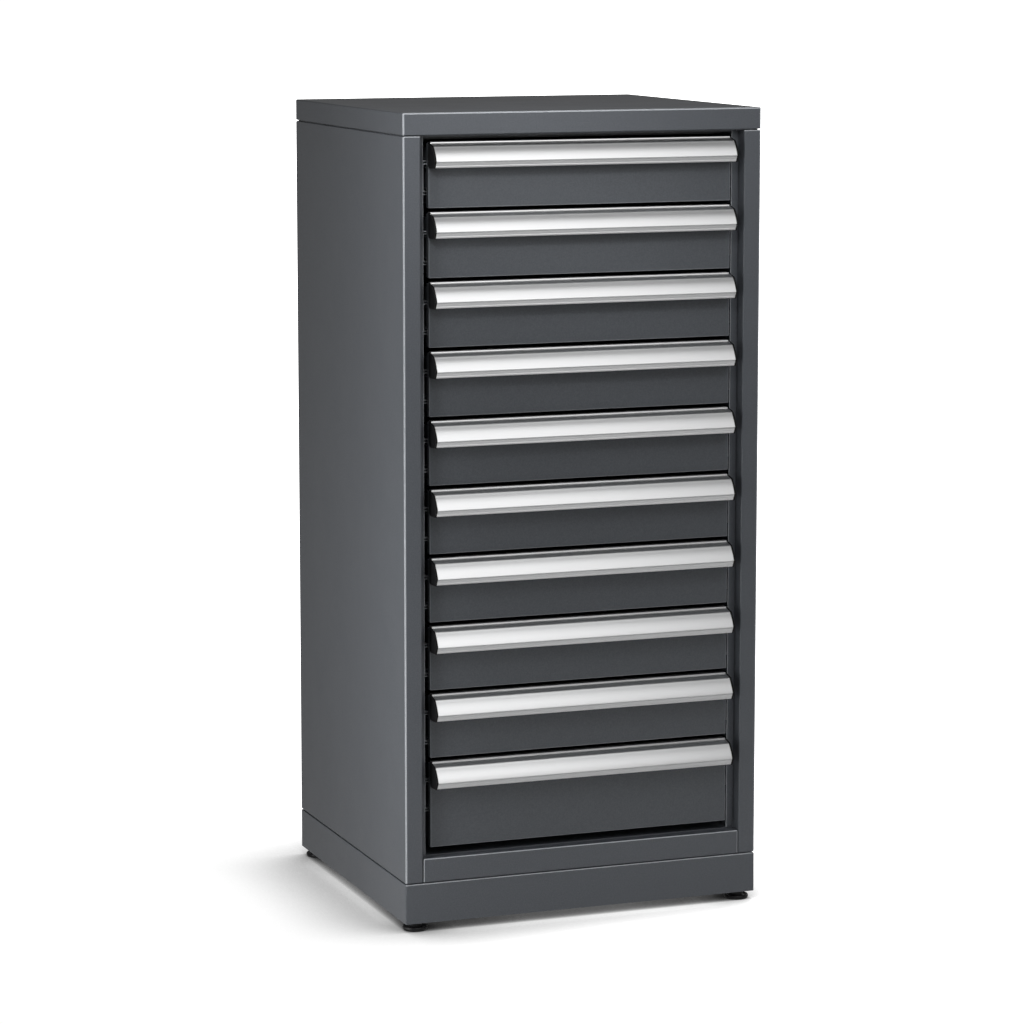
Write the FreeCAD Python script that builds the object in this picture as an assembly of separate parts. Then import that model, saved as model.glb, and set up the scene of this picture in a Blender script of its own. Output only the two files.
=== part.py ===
"""Ten-drawer workshop chest: folded sheet-steel housing on a plinth with four levelling feet.

X runs to the right, Y from the front to the back, Z up. The origin is on the floor, under the middle of the
whole object. All sizes are in millimetres.
"""

import FreeCAD, Part

import math
import os

V = FreeCAD.Vector

# Housing
BODY_WIDTH = 500.0
BODY_DEPTH = 457.0
TOTAL_HEIGHT = 1073.0
CAP_HEIGHT = 28.5
PLINTH_HEIGHT = 53.0
FOOT_CLEARANCE = 12.0
SEAM = 1.5                    # shadow gap above the plinth and under the cap
SEAM_INSET = 3.0              # rim that closes the seam, behind the outer faces
SKIN = 1.2                    # outer sheet
FRAME_SHEET = 1.5             # uprights and plinth
BEND_RADIUS = 2.5             # outer radius of a fold
POST_WIDTH = 24.0             # front face that the side panel folds into
POST_RETURN = 19.5            # how far that face returns into the opening
PANEL_FLANGE = 20.0           # top, bottom and rear flanges of the side panels
CAP_RETURN = 18.0
LEDGE_HEIGHT = 98.0           # top of the lower front rail

# Uprights
UPRIGHT_HALF_GAP = 219.0      # half the clear width between the uprights
UPRIGHT_DEPTH = 35.0
UPRIGHT_OUTER_LIP = 20.0
UPRIGHT_HEM = 3.0             # face stands inwards past the leg and covers the slides' ends
UPPER_RAIL_DEPTH = 30.0
UPPER_RAIL_DROP = 5.0
FLOOR_OVERLAP = 3.0           # floor panel's front edge, lying on the ledge
FLOOR_SIDE_GAP = 0.3

# Drawers, counted from the top
DRAWER_COUNT = 10
DRAWER_PITCH = 90.0
FIRST_LIP_TOP = 1035.0
FRONT_HEIGHT = 85.0
BOTTOM_FRONT_HEIGHT = 115.0
FRONT_WIDTH = 425.0
FRONT_RECESS = 12.0           # front face behind the post faces
FRONT_RETURN = 8.5
TRAY_WIDTH = 412.6
TRAY_LENGTH = 404.0
TRAY_SHEET = 1.0
TRAY_FLOOR_RISE = 4.0         # tray floor above the bottom edge of the front
TRAY_WALL_DROP = 8.0          # wall top below the handle's lip
FRONT_TOP_DROP = 1.6          # top of the front below the handle's lip

# Slides: three nested channels on each side of each drawer
SLIDE_LENGTH = 400.0
SLIDE_DROP = 46.5             # slide centre below the handle's lip
SLIDE_SHEET = 1.2
RAIL_HALF_HEIGHT = 22.0
RAIL_DEPTH = 9.8
CARRIAGE_HALF_HEIGHT = 18.4
CARRIAGE_INSET = 3.4          # carriage web to upright
CARRIAGE_DEPTH = 7.2
RUNNER_HALF_HEIGHT = 14.2
RUNNER_DEPTH = 5.7
SLIDE_SETBACK = 3.0           # slide's front end behind the uprights' face

# Handle section: forward of the drawer front, below the lip
HANDLE_HALF_LENGTH = 209.5
END_CAP_THICKNESS = 2.5
HANDLE_PROUD = 15.0           # crest in front of the post faces
CREST_REACH = FRONT_RECESS + HANDLE_PROUD
CREST_DROP = 24.0
TOE_REACH = 22.0
TOE_DROP = 32.8
SHOULDER_REACH = 16.8
SHOULDER_DROP = 7.0
WEB_FRONT = (12.6, 4.0)       # where the sloping web meets the shoulder
HANDLE_BACK = 8.0             # flange that covers the top of the front

# Levelling feet
FOOT_INSET = 18.5
FOOT_PAD_RADIUS = 16.5
FOOT_PAD_HEIGHT = 5.5
FOOT_PAD_ROUNDING = 1.5
FOOT_NECK_RADIUS = 14.0
FOOT_NECK_GAP = 0.3           # neck to plinth with the foot wound right in
STEM_RADIUS = 5.0
STEM_TOP = 46.0
STEM_CLEARANCE = 0.3
SOCKET_RADIUS = 9.0
SOCKET_HEIGHT = 16.0
GUSSET_SIZE = 42.0
GUSSET_THICKNESS = 3.0

# Bolts that hold the cap and the plinth to the housing
BOLT_RADIUS = 3.0
BOLT_HOLE_RADIUS = 3.3
BOLT_HEAD_RADIUS = 5.5
BOLT_HEAD_HEIGHT = 3.3
BOLT_NUT_HEIGHT = 5.0
BOLT_X = 238.0
FRONT_BOLT_SETBACK = 41.0     # bolt centres from the front and back faces
REAR_BOLT_SETBACK = 20.0
BACK_PANEL_CLEARANCE = 0.3    # back panel's side edges from the side panels' folds

# Worked out from the sizes above
HALF_WIDTH = BODY_WIDTH / 2
BACK = (BODY_DEPTH + HANDLE_PROUD) / 2
FACE = BACK - BODY_DEPTH      # plane of the post faces
OPENING = HALF_WIDTH - POST_WIDTH
UPRIGHT_FACE = FACE + POST_RETURN
FRONT_FACE = FACE + FRONT_RECESS
CAP_BOTTOM = TOTAL_HEIGHT - CAP_HEIGHT
PLINTH_TOP = FOOT_CLEARANCE + PLINTH_HEIGHT
BODY_BOTTOM = PLINTH_TOP + SEAM
BODY_TOP = CAP_BOTTOM - SEAM
SLIDE_FRONT = UPRIGHT_FACE + SLIDE_SETBACK
SLIDE_BACK = SLIDE_FRONT + SLIDE_LENGTH
TRAY_HALF_WIDTH = TRAY_WIDTH / 2
TRAY_FRONT = UPRIGHT_FACE - 0.5
TRAY_BACK = TRAY_FRONT + TRAY_LENGTH


def block(x0, x1, y0, y1, z0, z1):
    return Part.makeBox(x1 - x0, y1 - y0, z1 - z0, V(x0, y0, z0))


def joined(shapes):
    """One solid from pieces that share faces or overlap."""
    return shapes[0].multiFuse(shapes[1:]).removeSplitter()


def mirrored(shape):
    """The same piece on the other side of the middle plane."""
    return shape.mirror(V(0, 0, 0), V(1, 0, 0))


def upright_cylinder(x, y, z0, z1, radius):
    return Part.makeCylinder(radius, z1 - z0, V(x, y, z0), V(0, 0, 1))


def rounded_line(points, radii):
    """Edges along the points, with an arc of the given radius at each inner one."""
    edges = []
    start = points[0]
    for before, corner, after, radius in zip(points, points[1:], points[2:], radii):
        back = (before - corner).normalize()
        ahead = (after - corner).normalize()
        half_angle = back.getAngle(ahead) / 2
        reach = radius / math.tan(half_angle)
        towards_centre = (back + ahead).normalize()
        first = corner + back * reach
        middle = corner + towards_centre * (radius / math.sin(half_angle) - radius)
        last = corner + ahead * reach
        edges.append(Part.LineSegment(start, first).toShape())
        edges.append(Part.Arc(first, middle, last).toShape())
        start = last
    edges.append(Part.LineSegment(start, points[-1]).toShape())
    return edges


def folded_sheet(points, thickness, travel):
    """Sheet folded along points in the XY plane, its thickness on their left, pulled along travel."""
    line = [V(x, y, 0) for x, y in points]
    runs = [(b - a).normalize() for a, b in zip(line, line[1:])]
    normals = [V(-run.y, run.x, 0) for run in runs]
    shifted = [line[0] + normals[0] * thickness]
    outer_radii = []
    inner_radii = []
    for corner, n0, n1, run in zip(line[1:], normals, normals[1:], runs):
        shifted.append(corner + (n0 + n1) * (thickness / (1 + n0.dot(n1))))
        left_turn = run.dot(n1) < 0
        outer_radii.append(BEND_RADIUS if left_turn else BEND_RADIUS - thickness)
        inner_radii.append(BEND_RADIUS - thickness if left_turn else BEND_RADIUS)
    shifted.append(line[-1] + normals[-1] * thickness)
    edges = rounded_line(line, outer_radii) + rounded_line(shifted, inner_radii)
    edges.append(Part.LineSegment(line[0], shifted[0]).toShape())
    edges.append(Part.LineSegment(line[-1], shifted[-1]).toShape())
    wire = Part.Wire(Part.__sortEdges__(edges))
    return Part.Face(wire).extrude(travel)


def bolt_places():
    """Where the cap and plinth bolts stand, in plan."""
    return [
        (x, y)
        for x in (-BOLT_X, BOLT_X)
        for y in (FACE + FRONT_BOLT_SETBACK, BACK - REAR_BOLT_SETBACK)
    ]


def seam_rim(z0):
    """Upright rim, a seam high, that runs round inside a shadow gap."""
    def frame(inset):
        return block(
            -HALF_WIDTH + inset, HALF_WIDTH - inset, FACE + inset, BACK - inset, z0, z0 + SEAM
        )
    return frame(SEAM_INSET).cut(frame(SEAM_INSET + SKIN))


def drilled(shape, z0, z1):
    """The shape with the bolt holes through it between two heights."""
    holes = [upright_cylinder(x, y, z0, z1, BOLT_HOLE_RADIUS) for x, y in bolt_places()]
    return shape.cut(Part.Compound(holes))


def make_top_cap():
    outside = block(-HALF_WIDTH, HALF_WIDTH, FACE, BACK, CAP_BOTTOM, TOTAL_HEIGHT)
    rounded = [
        edge
        for edge in outside.Edges
        if edge.CenterOfMass.z > CAP_BOTTOM + SEAM
    ]
    outside = outside.makeFillet(BEND_RADIUS, rounded)
    hollow = block(
        -HALF_WIDTH + SKIN, HALF_WIDTH - SKIN, FACE + SKIN, BACK - SKIN,
        CAP_BOTTOM + SKIN, TOTAL_HEIGHT - SKIN,
    )
    mouth = block(
        -HALF_WIDTH + CAP_RETURN, HALF_WIDTH - CAP_RETURN, FACE + CAP_RETURN, BACK - CAP_RETURN,
        CAP_BOTTOM, CAP_BOTTOM + SKIN,
    )
    shell = joined([outside.cut(hollow).cut(mouth), seam_rim(BODY_TOP)])
    return drilled(shell, CAP_BOTTOM, CAP_BOTTOM + SKIN)


def make_left_side_panel():
    """Side, front post and the two inward folds, with a flange at the top and at the bottom."""
    profile = [
        (-HALF_WIDTH + PANEL_FLANGE, BACK),
        (-HALF_WIDTH, BACK),
        (-HALF_WIDTH, FACE),
        (-OPENING, FACE),
        (-OPENING, UPRIGHT_FACE),
    ]
    skin = folded_sheet(profile, SKIN, V(0, 0, BODY_TOP - BODY_BOTTOM))
    skin.translate(V(0, 0, BODY_BOTTOM))
    inner = SKIN / 2
    flange_edge = -HALF_WIDTH + SKIN + PANEL_FLANGE
    flanges = [
        block(-HALF_WIDTH + inner, flange_edge, FACE + inner, BACK - inner, z0, z0 + SKIN)
        for z0 in (BODY_BOTTOM, BODY_TOP - SKIN)
    ]
    corner_keep = block(-HALF_WIDTH + BEND_RADIUS, 0, FACE, BACK, BODY_BOTTOM, BODY_TOP)
    edge_keep = block(-HALF_WIDTH, 0, FACE + BEND_RADIUS, BACK - BEND_RADIUS, BODY_BOTTOM, BODY_TOP)
    flanges = [flange.common(joined([corner_keep, edge_keep])) for flange in flanges]
    return drilled(joined([skin] + flanges), BODY_BOTTOM, BODY_TOP)


def make_back_panel():
    """Flat sheet inside the rear flanges of the side panels."""
    half_width = HALF_WIDTH - BEND_RADIUS - BACK_PANEL_CLEARANCE
    return block(-half_width, half_width, BACK - 2 * SKIN, BACK - SKIN, BODY_BOTTOM + SKIN, BODY_TOP - SKIN)


def make_bottom_panel():
    """Floor of the housing: its front edge lies on the ledge, and it has a flange down at the back."""
    rear_upright = BACK - 2 * SKIN
    half_edge = UPRIGHT_HALF_GAP - UPRIGHT_HEM - FLOOR_SIDE_GAP
    top = LEDGE_HEIGHT + SKIN
    behind_hem = UPRIGHT_FACE + FRAME_SHEET
    edge = block(-half_edge, half_edge, UPRIGHT_FACE - FLOOR_OVERLAP, behind_hem, LEDGE_HEIGHT, top)
    floor = block(-UPRIGHT_HALF_GAP, UPRIGHT_HALF_GAP, behind_hem, rear_upright, LEDGE_HEIGHT, top)
    flange = block(
        -UPRIGHT_HALF_GAP, UPRIGHT_HALF_GAP, rear_upright - SKIN, rear_upright, top - PANEL_FLANGE, top
    )
    return joined([edge, floor, flange])


def make_lower_front_rail():
    """Channel between the posts: ledge on top, face and a flange underneath."""
    profile = [
        (UPRIGHT_FACE, LEDGE_HEIGHT),
        (FACE, LEDGE_HEIGHT),
        (FACE, BODY_BOTTOM),
        (UPRIGHT_FACE, BODY_BOTTOM),
    ]
    rail = folded_sheet(profile, SKIN, V(0, 0, 2 * OPENING))
    across = FreeCAD.Rotation(V(0, 1, 0), V(0, 0, 1), V(1, 0, 0))
    rail.Placement = FreeCAD.Placement(V(-OPENING, 0, 0), across)
    return rail


def make_upper_front_rail():
    """Angle that ties the uprights together under the cap, its lip turned down at the back."""
    top = BODY_TOP - SKIN
    half_gap = UPRIGHT_HALF_GAP
    front = UPRIGHT_FACE + FRAME_SHEET
    back = front + UPPER_RAIL_DEPTH
    flange = block(-half_gap, half_gap, front, back, top - SKIN, top)
    lip = block(-half_gap, half_gap, back - SKIN, back, top - UPPER_RAIL_DROP, top)
    return joined([flange, lip])


def make_left_upright():
    """Channel whose inner leg carries the slides, drawn at the front."""
    outer = HALF_WIDTH - 2 * SKIN
    profile = [
        (-outer, UPRIGHT_FACE),
        (-UPRIGHT_HALF_GAP, UPRIGHT_FACE),
        (-UPRIGHT_HALF_GAP, UPRIGHT_FACE + UPRIGHT_DEPTH),
        (-UPRIGHT_HALF_GAP - UPRIGHT_OUTER_LIP, UPRIGHT_FACE + UPRIGHT_DEPTH),
    ]
    upright = folded_sheet(profile, FRAME_SHEET, V(0, 0, BODY_TOP - BODY_BOTTOM - 2 * SKIN))
    upright.translate(V(0, 0, BODY_BOTTOM + SKIN))
    return upright


def make_front_left_upright():
    """The channel with a hem along its face, which shows beside the drawers."""
    start = -UPRIGHT_HALF_GAP - BEND_RADIUS
    hem = block(
        start, -UPRIGHT_HALF_GAP + UPRIGHT_HEM, UPRIGHT_FACE, UPRIGHT_FACE + FRAME_SHEET,
        LEDGE_HEIGHT, BODY_TOP - SKIN,
    )
    return joined([make_left_upright(), hem])


def make_rear_left_upright():
    """The same channel turned round, against the back panel."""
    middle = (UPRIGHT_FACE + BACK - 2 * SKIN) / 2
    return make_left_upright().mirror(V(0, middle, 0), V(0, 1, 0))


def make_plinth():
    """Rectangular frame with a flange round its top and a drilled gusset in each lower corner."""
    outside = block(-HALF_WIDTH, HALF_WIDTH, FACE, BACK, FOOT_CLEARANCE, PLINTH_TOP)
    corners = [
        edge
        for edge in outside.Edges
        if abs(edge.tangentAt(edge.FirstParameter).z) > 0.9
    ]
    outside = outside.makeFillet(BEND_RADIUS, corners)
    hollow = block(
        -HALF_WIDTH + FRAME_SHEET, HALF_WIDTH - FRAME_SHEET, FACE + FRAME_SHEET, BACK - FRAME_SHEET,
        FOOT_CLEARANCE, PLINTH_TOP - FRAME_SHEET,
    )
    mouth = block(
        -HALF_WIDTH + PANEL_FLANGE, HALF_WIDTH - PANEL_FLANGE, FACE + PANEL_FLANGE, BACK - PANEL_FLANGE,
        FOOT_CLEARANCE, PLINTH_TOP,
    )
    frame = outside.cut(hollow).cut(mouth)
    gussets = []
    for x, y in foot_places():
        gusset = block(
            x - GUSSET_SIZE, x + GUSSET_SIZE, y - GUSSET_SIZE, y + GUSSET_SIZE,
            FOOT_CLEARANCE, FOOT_CLEARANCE + GUSSET_THICKNESS,
        )
        inside = block(
            -HALF_WIDTH + SKIN, HALF_WIDTH - SKIN, FACE + SKIN, BACK - SKIN, FOOT_CLEARANCE, PLINTH_TOP
        )
        hole = upright_cylinder(x, y, FOOT_CLEARANCE, PLINTH_TOP, STEM_RADIUS + STEM_CLEARANCE)
        gussets.append(gusset.common(inside).cut(hole))
    return drilled(joined([frame, seam_rim(PLINTH_TOP)] + gussets), PLINTH_TOP - FRAME_SHEET, PLINTH_TOP)


def foot_places():
    """Centres of the feet, in plan: front left, front right, rear left, rear right."""
    side = HALF_WIDTH - FOOT_INSET
    return [
        (-side, FACE + FOOT_INSET),
        (side, FACE + FOOT_INSET),
        (-side, BACK - FOOT_INSET),
        (side, BACK - FOOT_INSET),
    ]


def make_foot_sockets():
    """Threaded bushes that stand on the gussets and take the stems."""
    base = FOOT_CLEARANCE + GUSSET_THICKNESS
    sockets = []
    for x, y in foot_places():
        bush = upright_cylinder(x, y, base, base + SOCKET_HEIGHT, SOCKET_RADIUS)
        bore = upright_cylinder(x, y, base, base + SOCKET_HEIGHT, STEM_RADIUS + STEM_CLEARANCE)
        sockets.append(bush.cut(bore))
    return Part.Compound(sockets)


def make_levelling_foot(x, y):
    """Pad, neck and stem of one foot, wound in until the neck meets the plinth."""
    pad = upright_cylinder(x, y, 0, FOOT_PAD_HEIGHT, FOOT_PAD_RADIUS)
    rim = [edge for edge in pad.Edges if edge.CenterOfMass.z > FOOT_PAD_HEIGHT / 2 and edge.isClosed()]
    pad = pad.makeFillet(FOOT_PAD_ROUNDING, rim)
    neck = upright_cylinder(x, y, 0, FOOT_CLEARANCE - FOOT_NECK_GAP, FOOT_NECK_RADIUS)
    stem = upright_cylinder(x, y, 0, STEM_TOP, STEM_RADIUS)
    return joined([pad, neck, stem])


def bolt(x, y, seam_bottom, lower_sheet, upper_sheet):
    """Head below, washer in the seam and nut above, on one shank."""
    seam_top = seam_bottom + SEAM
    head_top = seam_bottom - lower_sheet
    nut_bottom = seam_top + upper_sheet
    pieces = [
        upright_cylinder(x, y, head_top - BOLT_HEAD_HEIGHT, head_top, BOLT_HEAD_RADIUS),
        upright_cylinder(x, y, seam_bottom, seam_top, BOLT_HEAD_RADIUS),
        upright_cylinder(x, y, nut_bottom, nut_bottom + BOLT_NUT_HEIGHT, BOLT_HEAD_RADIUS),
        upright_cylinder(x, y, head_top, nut_bottom, BOLT_RADIUS),
    ]
    return joined(pieces)


def make_housing_bolts():
    cap_bolts = [bolt(x, y, BODY_TOP, SKIN, SKIN) for x, y in bolt_places()]
    plinth_bolts = [bolt(x, y, PLINTH_TOP, FRAME_SHEET, SKIN) for x, y in bolt_places()]
    return Part.Compound(cap_bolts + plinth_bolts)


def lip_top(index):
    """Height of the top of a drawer's handle; the topmost drawer has index 0."""
    return FIRST_LIP_TOP - index * DRAWER_PITCH


def front_height(index):
    return BOTTOM_FRONT_HEIGHT if index == DRAWER_COUNT - 1 else FRONT_HEIGHT


def make_slide_rails():
    """Fixed rails: channels open towards the drawer, on the uprights' inner legs."""
    rails = []
    for index in range(DRAWER_COUNT):
        centre = lip_top(index) - SLIDE_DROP
        low = centre - RAIL_HALF_HEIGHT
        high = centre + RAIL_HALF_HEIGHT
        outer = -UPRIGHT_HALF_GAP
        inner = outer + RAIL_DEPTH
        web = block(outer, outer + SLIDE_SHEET, SLIDE_FRONT, BACK - PANEL_FLANGE, low, high)
        floor = block(outer, inner, SLIDE_FRONT, BACK - PANEL_FLANGE, low, low + SLIDE_SHEET)
        roof = block(outer, inner, SLIDE_FRONT, BACK - PANEL_FLANGE, high - SLIDE_SHEET, high)
        rail = joined([web, floor, roof])
        rails += [rail, mirrored(rail)]
    return Part.Compound(rails)


def make_carriages(index):
    """Middle members, one on each side: channels that run inside the fixed rails."""
    centre = lip_top(index) - SLIDE_DROP
    low = centre - CARRIAGE_HALF_HEIGHT
    high = centre + CARRIAGE_HALF_HEIGHT
    outer = -UPRIGHT_HALF_GAP + CARRIAGE_INSET
    inner = outer + CARRIAGE_DEPTH
    web = block(outer, outer + SLIDE_SHEET, SLIDE_FRONT, SLIDE_BACK, low, high)
    floor = block(outer, inner, SLIDE_FRONT, SLIDE_BACK, low, low + SLIDE_SHEET)
    roof = block(outer, inner, SLIDE_FRONT, SLIDE_BACK, high - SLIDE_SHEET, high)
    carriage = joined([web, floor, roof])
    return Part.Compound([carriage, mirrored(carriage)])


def make_runner(index):
    """Two ribs folded out of the left wall of the tray, which the carriage holds."""
    centre = lip_top(index) - SLIDE_DROP
    outer = -TRAY_HALF_WIDTH - RUNNER_DEPTH
    ribs = []
    for side in (-1, 1):
        z0 = centre + side * (RUNNER_HALF_HEIGHT - SLIDE_SHEET / 2) - SLIDE_SHEET / 2
        ribs.append(block(outer, -TRAY_HALF_WIDTH, SLIDE_FRONT, TRAY_BACK, z0, z0 + SLIDE_SHEET))
    return ribs


def make_tray(index):
    """Drawer folded from sheet: hollow front with returns, inner front wall, floor, sides and back."""
    front_top = lip_top(index) - FRONT_TOP_DROP
    front_bottom = lip_top(index) - front_height(index)
    wall_top = lip_top(index) - TRAY_WALL_DROP
    floor = front_bottom + TRAY_FLOOR_RISE
    half_front = FRONT_WIDTH / 2
    returns_back = FRONT_FACE + FRONT_RETURN
    wall = TRAY_SHEET
    pieces = [
        block(-half_front, half_front, FRONT_FACE, FRONT_FACE + SKIN, front_bottom, front_top),
        block(-half_front, half_front, FRONT_FACE, returns_back, front_bottom, front_bottom + SKIN),
        block(-half_front, -half_front + SKIN, FRONT_FACE, returns_back, front_bottom, front_top),
        block(half_front - SKIN, half_front, FRONT_FACE, returns_back, front_bottom, front_top),
        block(-TRAY_HALF_WIDTH, TRAY_HALF_WIDTH, FRONT_FACE, TRAY_FRONT + wall, front_top - SKIN, front_top),
        block(-TRAY_HALF_WIDTH, TRAY_HALF_WIDTH, TRAY_FRONT, TRAY_FRONT + wall, floor, front_top),
        block(-TRAY_HALF_WIDTH, TRAY_HALF_WIDTH, TRAY_FRONT, TRAY_BACK, floor, floor + wall),
        block(-TRAY_HALF_WIDTH, TRAY_HALF_WIDTH, TRAY_BACK - wall, TRAY_BACK, floor, wall_top),
        block(-TRAY_HALF_WIDTH, -TRAY_HALF_WIDTH + wall, TRAY_FRONT, TRAY_BACK, floor, wall_top),
        block(TRAY_HALF_WIDTH - wall, TRAY_HALF_WIDTH, TRAY_FRONT, TRAY_BACK, floor, wall_top),
    ]
    for rib in make_runner(index):
        pieces += [rib, mirrored(rib)]
    return joined(pieces)


def handle_point(reach, drop, index, x):
    """A point of the handle's section: forward of the drawer front, below the lip."""
    return V(x, FRONT_FACE - reach, lip_top(index) - drop)


def section_edges(steps, index, x):
    """Closed outline from steps of (reach, drop) or (bulge point, end point) pairs for arcs."""
    edges = []
    start = handle_point(*steps[0], index, x)
    for step in steps[1:]:
        if isinstance(step[0], tuple):
            middle = handle_point(*step[0], index, x)
            end = handle_point(*step[1], index, x)
            edges.append(Part.Arc(start, middle, end).toShape())
        else:
            end = handle_point(*step, index, x)
            edges.append(Part.LineSegment(start, end).toShape())
        start = end
    return edges


SHOULDER = ((15.3, 5.1), (SHOULDER_REACH, SHOULDER_DROP))
BLADE = ((22.6, 15.1), (CREST_REACH, CREST_DROP))


def make_handle(index):
    """Full-width extruded pull: top web, rounded shoulder, bowed blade and a toe turned back under it."""
    steps = [
        (-HANDLE_BACK, 0.0),
        (2.0, 0.0),
        (2.4, 2.2),
        WEB_FRONT,
        SHOULDER,
        BLADE,
        (TOE_REACH, TOE_DROP),
        (20.0, 32.0),
        (24.5, 24.0),
        ((20.4, 16.1), (15.0, 8.8)),
        (12.2, 6.2),
        (1.8, 4.4),
        (1.8, 14.0),
        (0.0, 14.0),
        (0.0, FRONT_TOP_DROP),
        (-HANDLE_BACK, FRONT_TOP_DROP),
        (-HANDLE_BACK, 0.0),
    ]
    wire = Part.Wire(section_edges(steps, index, -HANDLE_HALF_LENGTH))
    return Part.Face(wire).extrude(V(2 * HANDLE_HALF_LENGTH, 0, 0))


def make_handle_end_caps(index):
    """Plates that close the handle at both ends, from the drawer front to the blade."""
    steps = [
        (0.0, 0.2),
        (2.2, 0.2),
        (2.4, 2.2),
        WEB_FRONT,
        SHOULDER,
        BLADE,
        (TOE_REACH, TOE_DROP + 0.4),
        (5.0, TOE_DROP + 1.0),
        ((1.5, 32.3), (0.0, 28.6)),
        (0.0, 0.2),
    ]
    wire = Part.Wire(section_edges(steps, index, -HANDLE_HALF_LENGTH - END_CAP_THICKNESS))
    plate = Part.Face(wire).extrude(V(END_CAP_THICKNESS, 0, 0))
    return Part.Compound([plate, mirrored(plate)])


def build():
    front_left_upright = make_front_left_upright()
    rear_left_upright = make_rear_left_upright()
    left_side_panel = make_left_side_panel()
    parts = {
        "top_cap": make_top_cap(),
        "left_side_panel": left_side_panel,
        "right_side_panel": mirrored(left_side_panel),
        "back_panel": make_back_panel(),
        "bottom_panel": make_bottom_panel(),
        "lower_front_rail": make_lower_front_rail(),
        "upper_front_rail": make_upper_front_rail(),
        "front_left_upright": front_left_upright,
        "front_right_upright": mirrored(front_left_upright),
        "rear_left_upright": rear_left_upright,
        "rear_right_upright": mirrored(rear_left_upright),
        "slide_rails": make_slide_rails(),
        "plinth": make_plinth(),
        "foot_sockets": make_foot_sockets(),
        "housing_bolts": make_housing_bolts(),
    }
    corners = ("front_left", "front_right", "rear_left", "rear_right")
    for corner, (x, y) in zip(corners, foot_places()):
        parts[f"{corner}_levelling_foot"] = make_levelling_foot(x, y)
    for index in range(DRAWER_COUNT):
        name = f"drawer_{index + 1:02d}"
        parts[f"{name}_tray"] = make_tray(index)
        parts[f"{name}_handle"] = make_handle(index)
        parts[f"{name}_handle_end_caps"] = make_handle_end_caps(index)
        parts[f"{name}_slide_carriages"] = make_carriages(index)
    return parts


os.makedirs("parts", exist_ok=True)
for node, shape in build().items():
    shape.exportStep(f"parts/{node}.step")
    box = shape.BoundBox
    print(
        f"{node:34s} solids {len(shape.Solids):2d} valid {shape.isValid()} {shape.Volume / 1000:7.1f} cm3 "
        f"x {box.XMin:.1f}..{box.XMax:.1f} y {box.YMin:.1f}..{box.YMax:.1f} z {box.ZMin:.1f}..{box.ZMax:.1f}"
    )
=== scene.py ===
# %% [markdown]
# # A steel workshop chest with ten drawers
#
# The chest is folded from sheet steel and powder coated in dark grey. Ten drawers sit back between two
# front posts, each with a full-width pull of anodised aluminium that is closed by black end caps. The
# housing stands on a plinth with four levelling feet.
#
# The frame brings the engineering model: its pieces, bodies and sizes. This script remakes what shows, so
# that folds are rounded, edges catch the light and each surface has the finish of the real thing.

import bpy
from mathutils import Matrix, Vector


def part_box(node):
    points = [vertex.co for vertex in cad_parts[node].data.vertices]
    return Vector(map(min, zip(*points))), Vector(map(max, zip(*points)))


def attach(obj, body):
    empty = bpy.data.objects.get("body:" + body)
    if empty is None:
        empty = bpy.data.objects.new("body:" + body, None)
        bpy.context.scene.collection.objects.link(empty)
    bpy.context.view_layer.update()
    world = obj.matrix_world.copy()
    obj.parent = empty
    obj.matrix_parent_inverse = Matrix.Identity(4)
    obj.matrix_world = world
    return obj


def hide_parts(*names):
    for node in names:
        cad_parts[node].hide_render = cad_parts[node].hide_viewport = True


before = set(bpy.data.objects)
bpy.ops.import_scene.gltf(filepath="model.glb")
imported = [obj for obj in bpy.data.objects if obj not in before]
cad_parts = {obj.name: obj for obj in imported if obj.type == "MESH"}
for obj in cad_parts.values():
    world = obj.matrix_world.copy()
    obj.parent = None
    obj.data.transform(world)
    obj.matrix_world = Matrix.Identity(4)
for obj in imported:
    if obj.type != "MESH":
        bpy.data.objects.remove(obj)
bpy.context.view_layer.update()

# %% [markdown]
# Everything below works in metres, but a maker thinks of sheet and folds in millimetres, so one constant
# turns one into the other.

# %% Units and tools
import math

import bmesh
import bpy
from mathutils import Vector

MM = 0.001


def only(piece):
    """Makes a piece the one selected and active object."""
    bpy.ops.object.select_all(action="DESELECT")
    piece.select_set(True)
    bpy.context.view_layer.objects.active = piece


def fix_place(piece):
    """Moves the object's place, turn and size into its mesh."""
    only(piece)
    bpy.ops.object.transform_apply(location=True, rotation=True, scale=True)
    return piece


bpy.ops.object.select_all(action="DESELECT")
print("tools ready")

# %% [markdown]
# ## Three ways to start a piece
#
# Folded boxes such as the cap and the plinth start from a cube between two corners. Long folded strips,
# such as the side panels with their posts, start from their outline: a single point is extruded from
# corner to corner, and the line is then pulled into a sheet. That is how a sheet-metal worker sees them
# too: a flat profile, and a length. Turned pieces start from a cylinder.


# %% Starting shapes
def add_block(name, low, high):
    """A cube stretched between two corners."""
    low, high = Vector(low), Vector(high)
    bpy.ops.object.select_all(action="DESELECT")
    bpy.ops.mesh.primitive_cube_add(size=1, location=(low + high) / 2)
    piece = bpy.context.object
    piece.name = name
    piece.scale = high - low
    return fix_place(piece)


def draw_line(name, points):
    """Edges from point to point: one vertex, extruded again and again."""
    points = [Vector(point) for point in points]
    bpy.ops.object.select_all(action="DESELECT")
    bpy.ops.mesh.primitive_plane_add(size=MM, location=points[0])
    piece = bpy.context.object
    piece.name = name
    fix_place(piece)
    bpy.ops.object.mode_set(mode="EDIT")
    bpy.ops.mesh.select_mode(type="VERT")
    bpy.ops.mesh.select_all(action="SELECT")
    bpy.ops.mesh.merge(type="CENTER")
    for start, end in zip(points, points[1:]):
        bpy.ops.mesh.extrude_region_move(TRANSFORM_OT_translate={"value": end - start})
    bpy.ops.object.mode_set(mode="OBJECT")
    return piece


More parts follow.
